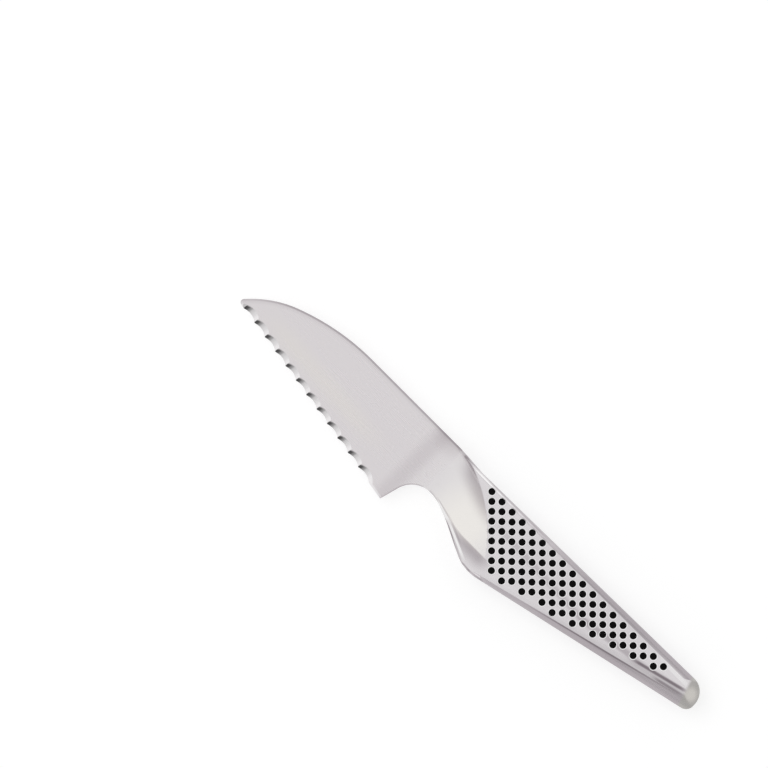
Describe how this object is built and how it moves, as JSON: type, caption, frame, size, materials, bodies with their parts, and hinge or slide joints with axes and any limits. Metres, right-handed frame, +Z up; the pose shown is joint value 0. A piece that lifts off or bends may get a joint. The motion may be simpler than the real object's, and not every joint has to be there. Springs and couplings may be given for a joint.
{
  "type": "tomato knife",
  "caption": "Small serrated kitchen knife with a scalloped blade, a scooped neck and a hollow dimpled steel handle.",
  "frame": {"origin": "middle of the knife's outline, on the flat face of the handle that it lies on", "axes": "+X along the spine from the blade's tip to the butt, +Y from the cutting edge to the spine, +Z up, out of the face that the teeth are ground from"},
  "size_m": [0.202, 0.0316, 0.011],
  "materials": {
    "blade_steel": "satin, fine grain along the blade",
    "handle_steel": "satin, soft",
    "weld_steel": "ground flush and blended",
    "dimple_lacquer": "black lacquer",
    "ballast_sand": "loose dry grain"
  },
  "bodies": {
    "root": {"blade": "blade_steel", "neck_weld": "weld_steel", "left_handle_shell": "handle_steel", "right_handle_shell": "handle_steel", "seam_weld": "weld_steel", "filler_plug": "weld_steel", "sand_ballast": "ballast_sand", "left_dimple_lacquer": "dimple_lacquer", "right_dimple_lacquer": "dimple_lacquer"}
  },
  "joints": []
}
